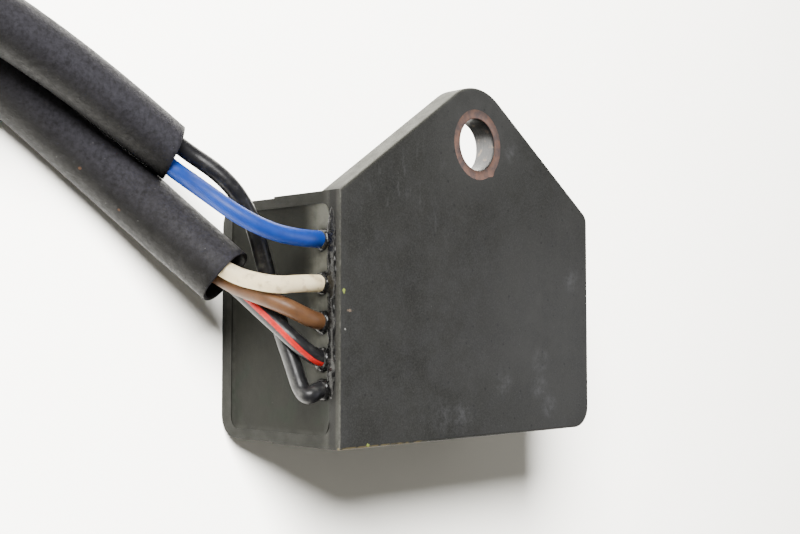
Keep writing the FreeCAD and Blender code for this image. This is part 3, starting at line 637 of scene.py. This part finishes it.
def sleeve_finish():
    """Flexible dark grey sleeve: painted bluish sheen on top, painted shade below, dents and rust specks.
    """
    f = Finish("sleeve_vinyl", Specular_IOR_Level=0.09, Sheen_Weight=0.02, Sheen_Roughness=0.4,
               Sheen_Tint=(0.78, 0.78, 1.0, 1.0))
    cloud = f.noise(0.22, 5)
    colour = f.mix(f.ramp(cloud, 0.3, 0.7), (0.0100, 0.0096, 0.0092), (0.0150, 0.0145, 0.0140))
    bloom = f.times(f.ramp(f.noise(1.4, 6, roughness=0.75), 0.48, 0.75), 0.35)
    colour = f.mix(bloom, colour, (0.040, 0.039, 0.044))
    upward = f.normal()[2]
    # Painted highlight: a bluish sheen on the faces that look upwards.
    painted_top_sheen = f.times(f.ramp(upward, 0.50, 1.0), f.ramp(f.noise(1.7, 5, roughness=0.7), 0.15, 0.75), 0.85)
    colour = f.mix(painted_top_sheen, colour, (0.048, 0.046, 0.053))
    # Painted shade: the faces that look downwards are darker, near black.
    painted_underside_shade = f.ramp(upward, 0.45, -0.25, 0.0, 0.85)
    colour = f.mix(painted_underside_shade, colour, (0.003, 0.003, 0.003))
    colour = f.mix(f.times(f.specks(1.3, 0.12, 0.15), 0.5), colour, (0.14, 0.135, 0.13))
    colour = f.mix(f.times(f.specks(0.42, 0.13, 0.16), 0.7), colour, (0.11, 0.055, 0.03))
    f.bump(f.noise(0.9, 4), 0.10)
    f.bump(f.noise(4.5, 4, roughness=0.65), 0.03)
    f.bump(f.specks(1.4, 0.2, 0.3), 0.03)
    return f.done(colour, f.ramp(f.noise(1.8, 4), 0.3, 0.7, 0.42, 0.60))


def moulded_finish(name, light, dark, roughness, grain=6.0, dust=(0.3, 0.3, 0.28)):
    """Moulded plastic or ceramic with fine grain, slow tone changes and a little dust."""
    f = Finish(name)
    colour = f.mix(f.ramp(f.noise(0.3, 4), 0.35, 0.65), light, dark)
    colour = f.mix(f.times(f.specks(1.2, 0.13, 0.2), 0.4), colour, dust)
    f.bump(f.noise(grain, 3), 0.015)
    return f.done(colour, f.ramp(f.noise(0.9, 3), 0.3, 0.7, roughness, roughness + 0.14))


def metal_finish(name, light, dark, roughness, stretch=(1, 1, 1)):
    """Plated or drawn metal with streaks and slight tarnish."""
    f = Finish(name, Metallic=1.0)
    streak = f.noise(2.5, 4, stretch)
    f.bump(streak, 0.01)
    return f.done(f.mix(f.ramp(streak, 0.35, 0.65), light, dark),
                  f.ramp(f.noise(1.0, 3), 0.3, 0.7, roughness, roughness + 0.15))


def board_finish():
    """Green circuit board with tracks under its solder mask."""
    f = Finish("board_glass_fibre", Specular_IOR_Level=0.5)
    winding = f.times(f.noise(0.12, 1), 14.0)
    tracks = f.ramp(f.maths("SINE", f.maths("ADD", f.times(f.y, 3.2), winding)), 0.55, 0.7)
    flat = f.ramp(f.maths("ABSOLUTE", f.normal()[2]), 0.5, 0.9)
    colour = f.mix(f.times(tracks, flat), (0.015, 0.10, 0.035), (0.03, 0.19, 0.07))
    colour = f.mix(f.maths("SUBTRACT", 1.0, flat), colour, (0.42, 0.38, 0.20))
    f.bump(tracks, 0.03)
    return f.done(colour, f.ramp(f.noise(2.0, 3), 0.3, 0.7, 0.3, 0.42))


def make_finishes():
    """Every material, under the name of the slot that it fills."""
    return {
        "case": case_finish(),
        "bush": bush_finish(),
        "potting": potting_finish(),
        "sealant": sealant_finish(),
        **{name: plain_insulation(name) for name in ("blue", "white", "brown", "black")},
        "black_red": striped_insulation(),
        "sleeve": sleeve_finish(),
        "board": board_finish(),
        "ferrite": moulded_finish("ferrite_core_grey", (0.030, 0.030, 0.033), (0.045, 0.045, 0.048),
                                  0.5, grain=3.5),
        "bobbin": moulded_finish("bobbin_natural", (0.62, 0.60, 0.52), (0.55, 0.53, 0.45), 0.4),
        "copper": metal_finish("enamelled_copper", (0.72, 0.30, 0.13), (0.52, 0.20, 0.08), 0.25,
                               stretch=(1, 1, 9)),
        "chip": moulded_finish("chip_moulding", (0.016, 0.016, 0.017), (0.024, 0.024, 0.025), 0.45),
        "capacitor": moulded_finish("capacitor_ceramic", (0.42, 0.29, 0.16), (0.34, 0.23, 0.12), 0.4),
        "tantalum": moulded_finish("tantalum_moulding", (0.62, 0.34, 0.05), (0.52, 0.28, 0.04), 0.4),
        "solder": metal_finish("tin_solder", (0.74, 0.74, 0.72), (0.55, 0.55, 0.54), 0.28),
        "connector": moulded_finish("connector_nylon", (0.020, 0.020, 0.021), (0.032, 0.032, 0.034), 0.42,
                                    dust=BLACK_DUST),
        "seal": moulded_finish("seal_silicone", (0.34, 0.075, 0.030), (0.26, 0.055, 0.024), 0.45,
                               dust=(0.16, 0.10, 0.08)),
        "terminal": metal_finish("tin_plating", (0.76, 0.74, 0.68), (0.60, 0.58, 0.52), 0.24,
                                 stretch=(3, 3, 1)),
        "lock": moulded_finish("lock_nylon", (0.55, 0.52, 0.42), (0.48, 0.45, 0.36), 0.42,
                               dust=(0.2, 0.17, 0.12)),
    }


# ---------------------------------------------------------------- bush

# The bush: the foot of its axis, its outer and bore radii, and how much of each edge is broken.
BUSH_CENTRE = Vector((0, 15.7, 0))
BUSH_OUTER = 4.75
BUSH_BORE = 3.5
BROKEN_EDGE = 0.12
# The mesh: sides round the axis, and steps down the bore.
BUSH_SIDES = 128
BORE_STEPS = 8
# The burr on the upper end's rim: how far it stands out, and its middle and half-width as angles.
BURR = 0.42
BURR_ANGLE = math.radians(-52)
BURR_HALF_WIDTH = 0.16
# How uneven the turned surface is.
RIPPLE = 0.02


def make_bush(finishes):
    """Turned bush with broken edges; a burr stands out from its upper end's rim."""
    low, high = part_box("mounting_bush")
    proud = 0.03 * MM
    edge = BROKEN_EDGE * MM
    outer = BUSH_OUTER * MM
    bore = BUSH_BORE * MM
    face_middle = 4.1 * MM
    profile = [(bore + edge, low.z), (outer - edge, low.z), (outer, low.z + edge),
               (outer, high.z - edge), (outer, high.z), (outer - edge, high.z + proud),
               (face_middle, high.z + 0.6 * proud), (bore + 1.6 * edge, high.z + 0.8 * proud),
               (bore + 0.4 * edge, high.z - 0.4 * edge), (bore, high.z - 1.4 * edge)]
    burr_rings = (4, 5)
    top, bottom = high.z - 1.4 * edge, low.z + 1.2 * edge
    profile += [(bore, top + (bottom - top) * k / BORE_STEPS) for k in range(1, BORE_STEPS + 1)]
    vertices = []
    for number, (radius, height) in enumerate(profile):
        for k in range(BUSH_SIDES):
            angle = 2 * math.pi * k / BUSH_SIDES
            off = abs(math.remainder(angle - BURR_ANGLE, 2 * math.pi))
            burr = BURR * MM * max(0.0, 1 - off / BURR_HALF_WIDTH) if number in burr_rings else 0.0
            ripple = RIPPLE * MM * wobble((math.cos(angle), math.sin(angle), height * 300), 4.0, 2.5)
            reach = radius + burr + ripple
            outward = Vector((reach * math.cos(angle), reach * math.sin(angle), height))
            vertices.append(BUSH_CENTRE * MM + outward)
    faces = looped_skin(len(profile), BUSH_SIDES)
    piece = add_piece("bush", vertices, faces, finishes["bush"], ["mounting_bush"])
    sharpen(piece)


def sharpen(piece, degrees=38):
    """Shades smooth only across edges gentler than an angle."""
    bm = bmesh.new()
    bm.from_mesh(piece.data)
    bmesh.ops.recalc_face_normals(bm, faces=bm.faces)
    for edge in bm.edges:
        joins_two = len(edge.link_faces) == 2
        edge.smooth = not (joins_two and edge.calc_face_angle() > math.radians(degrees))
    bm.to_mesh(piece.data)
    bm.free()


# ---------------------------------------------------------------- potting and sealant

# The resin's corner radius, and about how far apart the points of its edge are.
POTTING_CORNER = 1.5
POTTING_STEP = 0.55
# How far in from the resin's edge each loop of its face lies.
FACE_INSETS = (0.0, 0.12, 0.3, 0.55, 0.9, 1.3, 1.8, 2.4, 3.1, 3.9, 4.8, 5.8, 6.8, 7.8, 8.6, 9.1)
# A collar of sealant round a wire: radius at the resin, radius at its tip, and length.
COLLAR_FOOT = 1.5
COLLAR_TIP = 1.08
COLLAR_LENGTH = 0.85


def rounded_loop(low, high, inset, corner, step):
    """Points round a rectangle in the YZ plane, moved inwards, with round corners."""
    y0, z0, y1, z1 = low.y + inset, low.z + inset, high.y - inset, high.z - inset
    radius = max(corner - inset, 0.12 * MM)
    arcs = 6
    spans = [round((high.y - low.y) / step), round((high.z - low.z) / step)]
    corners = [(y1 - radius, z0 + radius, -90), (y1 - radius, z1 - radius, 0),
               (y0 + radius, z1 - radius, 90), (y0 + radius, z0 + radius, 180)]
    points = []
    for number, (y, z, start) in enumerate(corners):
        turn = [math.radians(start + 90 * k / arcs) for k in range(arcs + 1)]
        arc = [Vector((0, y + radius * math.cos(a), z + radius * math.sin(a))) for a in turn]
        next_y, next_z, next_start = corners[(number + 1) % 4]
        ahead = math.radians(next_start)
        target = Vector((0, next_y + radius * math.cos(ahead), next_z + radius * math.sin(ahead)))
        count = spans[(number + 1) % 2]
        points += arc + [arc[-1].lerp(target, k / count) for k in range(1, count)]
    return points


def exits():
    """Where the wires cross the plane of the open end."""
    return [Vector((OPEN_END, y, z)) * MM for (_, y, z), *_ in FREE_WIRES.values()]


def resin_rise(point, inset):
    """How far the resin's face stands towards the open end: it climbs the walls and the wires."""
    wall = 0.30 * math.exp(-inset / (0.75 * MM))
    front = 0.22 * math.exp(-abs(point.z - WALL_INSIDE * MM) / (2.2 * MM))
    scallops = (0.5 + 0.5 * math.cos(point.y * 1.2 / MM)) ** 2
    wires = 0.10 * sum(math.exp(-((point.y - e.y) ** 2 + (point.z - e.z) ** 2) / (1.6 * MM) ** 2)
                       for e in exits())
    waves = 0.07 * wobble(point, 7.0, 160) + 0.03 * wobble(point, 9.0, 420)
    return (wall + front * scallops + wires + waves) * MM


def make_potting(finishes):
    """The cast resin, closed all round, with a wavy face that climbs the case's walls."""
    low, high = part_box("potting_compound")
    deepest = (high.z - low.z) / 2 - 0.2 * MM
    loops = []
    for inset in [value * MM for value in FACE_INSETS if value * MM < deepest]:
        loop = rounded_loop(low, high, inset, POTTING_CORNER * MM, POTTING_STEP * MM)
        loops.append([Vector((low.x - resin_rise(p, inset), p.y, p.z)) for p in loop])
    loops.insert(0, [Vector((high.x, p.y, p.z)) for p in loops[0]])
    vertices = [point for loop in loops for point in loop]
    faces = closed_skin(len(loops), len(loops[0]))
    piece = add_piece("potting", vertices, faces, finishes["potting"], ["potting_compound"])
    sharpen(piece, 60)


def collar(centre, seed, sides=30, rings=9):
    """A lump of sealant round a wire that runs along X: wide at the resin, tapering outwards."""
    sunk = 0.5 * MM
    vertices = []
    for number in range(rings):
        share = number / (rings - 1)
        bulge = math.cos(share * math.pi / 2) ** 0.8
        for k in range(sides):
            angle = 2 * math.pi * k / sides
            outward = Vector((0, math.cos(angle), math.sin(angle)))
            reach = (COLLAR_TIP + (COLLAR_FOOT - COLLAR_TIP) * bulge) * MM
            reach *= 1 + 0.20 * bulge * wobble((outward.y, outward.z, share), seed, 1.6)
            length = COLLAR_LENGTH * MM * (1 + 0.25 * wobble((outward.y, outward.z, 0), seed, 1.1))
            foot = Vector((centre.x + sunk - share * length, centre.y, centre.z))
            vertices.append(foot + outward * reach)
    return vertices, closed_skin(rings, sides)


def strip(start, end, level, seed, sides=18, rings=110):
    """A thin lumpy smear of sealant along Y, from the resin on to the front wall's end."""
    centre = OPEN_END + 0.12
    vertices = []
    for number in range(rings):
        share = number / (rings - 1)
        y = start + (end - start) * share
        taper = min(1.0, 9 * share, 9 * (1 - share)) ** 0.5
        thick = 0.34 + 0.16 * wobble((y, 0, 0), seed, 480) + 0.12 * wobble((y, 0, 0), seed, 1400)
        wide = 0.78 + 0.28 * wobble((y, 0, 0), seed + 3, 420) + 0.16 * wobble((y, 0, 0), seed, 1100)
        for k in range(sides):
            angle = 2 * math.pi * k / sides
            around = (y, math.cos(angle) * MM, math.sin(angle) * MM)
            lumpy = taper * (1 + 0.25 * wobble(around, seed + 5, 1300))
            x = (centre + thick * lumpy * math.cos(angle)) * MM
            vertices.append(Vector((x, y, level + wide * lumpy * math.sin(angle) * MM)))
    return vertices, closed_skin(rings, sides)


def make_sealant(finishes):
    """Collars of sealant where the wires come out, and a smear of it along the front wall."""
    low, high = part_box("potting_compound")
    shapes = [strip(start=low.y + 4.2 * MM, end=high.y - 0.2 * MM, level=high.z + 0.30 * MM, seed=5.0)]
    shapes += [collar(place, seed=11.0 + 3 * number) for number, place in enumerate(exits())]
    vertices = []
    faces = []
    for points, quads in shapes:
        start = len(vertices)
        vertices += points
        faces += [tuple(start + index for index in face) for face in quads]
    piece = add_piece("wire_sealant", vertices, faces, finishes["sealant"],
                      ["wire_exit_sealant"])
    sharpen(piece, 70)


# ---------------------------------------------------------------- CAD nodes

# The material of each CAD node that stays, and of each part of a connector.
NODE_FINISHES = {
    "housing": "case",
    "circuit_board": "board",
    "ferrite_core": "ferrite",
    "coil_bobbin": "bobbin",
    "coil_winding": "copper",
    "coil_leads": "copper",
    "oscillator_chip": "chip",
    "smoothing_capacitor": "tantalum",
    "output_transistors": "chip",
    "protection_diodes": "chip",
    "chip_resistors": "chip",
    "chip_capacitors": "capacitor",
    "conductor_ends": "copper",
    "solder_joints": "solder",
}
CONNECTOR_FINISHES = {
    "_connector_body": "connector",
    "_wire_seals": "seal",
    "_terminals": "terminal",
    "_terminal_lock": "lock",
}


def soften_edges(piece):
    """A small bevel on a moulding's sharp edges."""
    soften = piece.modifiers.new("soft_edges", "BEVEL")
    soften.width = 0.18 * MM
    soften.segments = 2
    soften.limit_method = "ANGLE"
    soften.harden_normals = True


def dress_nodes(finishes):
    """Materials for the CAD nodes that stay, and softened edges on the connectors' bodies."""
    node_finishes = dict(NODE_FINISHES)
    for connector in CONNECTORS:
        soften_edges(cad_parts[connector + "_connector_body"])
        for end, finish in CONNECTOR_FINISHES.items():
            node_finishes[connector + end] = finish
    for node, finish in node_finishes.items():
        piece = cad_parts[node]
        piece.data.materials.clear()
        piece.data.materials.append(finishes[finish])


# ---------------------------------------------------------------- stage

def make_floor():
    """A wide sheet of warm white paper."""
    half = 1.6
    mesh = bpy.data.meshes.new("floor")
    corners = [(-half, -half, 0), (half, -half, 0), (half, half, 0), (-half, half, 0)]
    mesh.from_pydata(corners, [], [(0, 1, 2, 3)])
    f = Finish("floor_paper", Specular_IOR_Level=0.2)
    f.bump(f.noise(1.5, 4), 0.01)
    colour = f.mix(f.noise(0.02, 3), (0.88, 0.86, 0.79), (0.91, 0.89, 0.83))
    mesh.materials.append(f.done(colour, f.ramp(f.noise(0.05, 2), 0.3, 0.7, 0.75, 0.85)))
    floor = bpy.data.objects.new("floor", mesh)
    bpy.context.scene.collection.objects.link(floor)
    return floor


def area_light(name, place, aim, size, power, colour):
    """A round light of a size in metres and a power in watts, turned towards aim."""
    data = bpy.data.lights.new(name, "AREA")
    data.shape = "DISK"
    data.size = size
    data.energy = power
    data.color = colour
    light = bpy.data.objects.new(name, data)
    light.location = place
    light.rotation_euler = (Vector(aim) - Vector(place)).to_track_quat("-Z", "Y").to_euler()
    bpy.context.scene.collection.objects.link(light)
    return light


def lights_only(light, floor, state):
    """Makes a light reach the floor alone (INCLUDE) or all but the floor (EXCLUDE)."""
    receivers = bpy.data.collections.new(light.name + "_receivers")
    receivers.objects.link(floor)
    receivers.collection_objects[0].light_linking.link_state = state
    light.light_linking.receiver_collection = receivers


def make_lights(floor):
    """A soft window from the upper left, a cool lamp that only touches the part, and more of
    the window's light for the floor alone, which keeps it near white."""
    window = {"place": (-0.38, 0.31, 0.40), "aim": (-0.01, 0, 0.01), "size": 0.32}
    area_light("window", **window, power=9.0, colour=(1.0, 0.99, 0.97))
    lamp = area_light("lamp", place=(0.32, -0.04, 0.48), aim=(-0.03, 0, 0.01), size=0.30,
                      power=3.2, colour=(0.86, 0.87, 1.0))
    lights_only(lamp, floor, "EXCLUDE")
    paper = area_light("paper", **window, power=46.0, colour=(1.0, 1.0, 1.0))
    lights_only(paper, floor, "INCLUDE")
    world = bpy.data.worlds.new("room")
    world.use_nodes = True
    back = world.node_tree.nodes["Background"]
    back.inputs["Color"].default_value = (1.0, 0.97, 0.90, 1)
    back.inputs["Strength"].default_value = 0.30
    bpy.context.scene.world = world


# ---------------------------------------------------------------- build

make_camera()
finishes = make_finishes()
make_cords(finishes)
make_bush(finishes)
make_potting(finishes)
make_sealant(finishes)
dress_nodes(finishes)
make_lights(make_floor())
